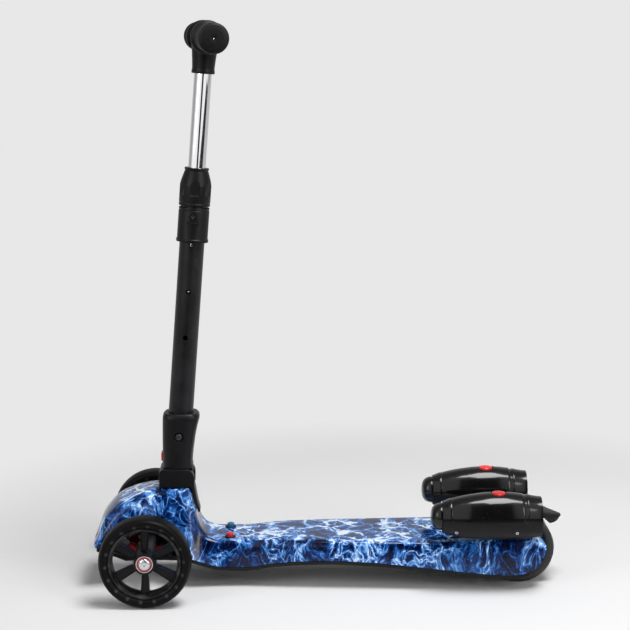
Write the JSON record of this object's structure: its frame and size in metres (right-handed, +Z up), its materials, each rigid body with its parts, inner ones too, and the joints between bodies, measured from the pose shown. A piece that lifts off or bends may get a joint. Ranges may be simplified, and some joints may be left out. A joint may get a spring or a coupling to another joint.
{
  "type": "kick scooter",
  "caption": "Child's lean-steered kick scooter with a folding mast, a sliding T-bar, a printed deck, a rear foot brake and two mist jets.",
  "frame": {"origin": "middle of the scooter's footprint, on the ground under the deck", "axes": "+X to the rear wheels, +Y to the rider's right-hand side when facing the rear of the scooter, +Z up"},
  "size_m": [0.6302, 0.266, 0.7468],
  "materials": {
    "blue_print": "gloss ABS with a blue and white streak print",
    "black_plastic": "satin black moulded plastic",
    "black_paint": "satin black powder coat",
    "black_gloss": "polished black plastic",
    "chrome": "bright chrome plate",
    "steel": "zinc-plated steel",
    "red_plastic": "red moulded plastic",
    "red_rubber": "red urethane",
    "teal_plastic": "teal moulded plastic",
    "smoke_tyre": "smoked translucent urethane",
    "black_rubber": "matt black rubber",
    "board": "green circuit board",
    "cell": "blue cell wrap",
    "clear_tank": "clear moulded plastic"
  },
  "bodies": {
    "chassis": {"deck_shell": "blue_print", "deck_tray": "black_plastic", "head_casting": "black_paint", "kingpin": "steel", "fold_base": "black_plastic", "fold_pin": "steel", "rear_axle": "steel", "brake_mount": "black_plastic", "brake_pin": "steel", "battery_cover": "black_plastic", "battery_pack": "cell", "circuit_board": "board", "speaker": "black_plastic", "nose_light": "red_plastic", "cushion_front_left": "red_rubber", "cushion_front_right": "red_rubber", "cushion_rear_left": "red_rubber", "cushion_rear_right": "red_rubber", "jet_cover_left": "black_gloss", "jet_cradle_left": "black_plastic", "steam_tank_left": "clear_tank", "jet_nose_left": "black_gloss", "jet_nozzle_left": "black_gloss", "jet_cover_right": "black_gloss", "jet_cradle_right": "black_plastic", "steam_tank_right": "clear_tank", "jet_nose_right": "black_gloss", "jet_nozzle_right": "black_gloss"},
    "truck": {"axle_beam": "black_paint", "axle_bolt_left": "steel", "axle_bolt_right": "steel"},
    "front_wheel_left": {"front_tyre_left": "smoke_tyre", "front_hub_left": "black_plastic", "front_bearing_left": "steel"},
    "front_wheel_right": {"front_tyre_right": "smoke_tyre", "front_hub_right": "black_plastic", "front_bearing_right": "steel"},
    "rear_wheel_left": {"rear_tyre_left": "smoke_tyre", "rear_hub_left": "black_plastic"},
    "rear_wheel_right": {"rear_tyre_right": "smoke_tyre", "rear_hub_right": "black_plastic"},
    "mast": {"fold_sleeve": "black_plastic", "mast_bolt": "steel", "outer_tube": "black_paint", "clamp_body": "black_plastic", "guide_bush": "black_rubber"},
    "release": {"release_button": "red_plastic"},
    "nut": {"clamp_nut": "black_plastic"},
    "bar": {"inner_tube": "chrome", "glide_plug": "black_rubber", "t_joint": "black_plastic", "crossbar": "steel", "grip_left": "black_rubber", "grip_right": "black_rubber"},
    "snap": {"snap_button": "steel"},
    "flap": {"brake_flap": "black_plastic"},
    "cap_left": {"jet_cap_left": "red_plastic"},
    "cap_right": {"jet_cap_right": "red_plastic"},
    "light_key": {"light_button": "red_plastic"},
    "steam_key": {"steam_button": "teal_plastic"}
  },
  "joints": [
    {"name": "steer_lean", "type": "hinge", "parent": "chassis", "child": "truck", "pos_m": [-0.24085, 0, 0.06], "axis": [-0.6428, 0, 0.766], "range_deg": [-14, 14], "stiffness_Nm_per_rad": 12},
    {"name": "front_spin_left", "type": "hinge", "parent": "truck", "child": "front_wheel_left", "pos_m": [-0.24085, -0.117, 0.06], "axis": [0, 1, 0], "continuous": true},
    {"name": "front_spin_right", "type": "hinge", "parent": "truck", "child": "front_wheel_right", "pos_m": [-0.24085, 0.117, 0.06], "axis": [0, 1, 0], "continuous": true},
    {"name": "rear_spin_left", "type": "hinge", "parent": "chassis", "child": "rear_wheel_left", "pos_m": [0.25615, -0.0195, 0.047], "axis": [0, 1, 0], "continuous": true},
    {"name": "rear_spin_right", "type": "hinge", "parent": "chassis", "child": "rear_wheel_right", "pos_m": [0.25615, 0.0195, 0.047], "axis": [0, 1, 0], "continuous": true},
    {"name": "mast_fold", "type": "hinge", "parent": "chassis", "child": "mast", "pos_m": [-0.19285, 0, 0.144], "axis": [0, 1, 0], "range_deg": [0, 84]},
    {"name": "release_press", "type": "slide", "parent": "mast", "child": "release", "axis": [1, 0, 0], "range_m": [0, 0.003], "stiffness_N_per_m": 800, "springref_m": -0.0005},
    {"name": "clamp_twist", "type": "hinge", "parent": "mast", "child": "nut", "pos_m": [-0.1767, 0, 0.53182], "axis": [0.0732, 0, 0.9973], "range_deg": [0, 90]},
    {"name": "bar_height", "type": "slide", "parent": "mast", "child": "bar", "axis": [0.0732, 0, 0.9973], "range_m": [-0.0613, 0.0613]},
    {"name": "snap_press", "type": "slide", "parent": "bar", "child": "snap", "axis": [0, 1, 0], "range_m": [0, 0.003], "stiffness_N_per_m": 500, "springref_m": -0.0005},
    {"name": "brake_press", "type": "hinge", "parent": "chassis", "child": "flap", "pos_m": [0.19765, 0, 0.079], "axis": [0, 1, 0], "range_deg": [0, 3.8], "stiffness_Nm_per_rad": 3, "springref_deg": -8.59},
    {"name": "cap_twist_left", "type": "hinge", "parent": "chassis", "child": "cap_left", "pos_m": [0.22095, -0.0655, 0.13], "axis": [0, 0, 1], "range_deg": [0, 90]},
    {"name": "cap_twist_right", "type": "hinge", "parent": "chassis", "child": "cap_right", "pos_m": [0.22095, 0.0655, 0.13], "axis": [0, 0, 1], "range_deg": [0, 90]},
    {"name": "light_press", "type": "slide", "parent": "chassis", "child": "light_key", "axis": [0, 0, -1], "range_m": [0, 0.002], "stiffness_N_per_m": 600, "springref_m": -0.0005},
    {"name": "steam_press", "type": "slide", "parent": "chassis", "child": "steam_key", "axis": [0, 0, -1], "range_m": [0, 0.002], "stiffness_N_per_m": 600, "springref_m": -0.0005}
  ]
}
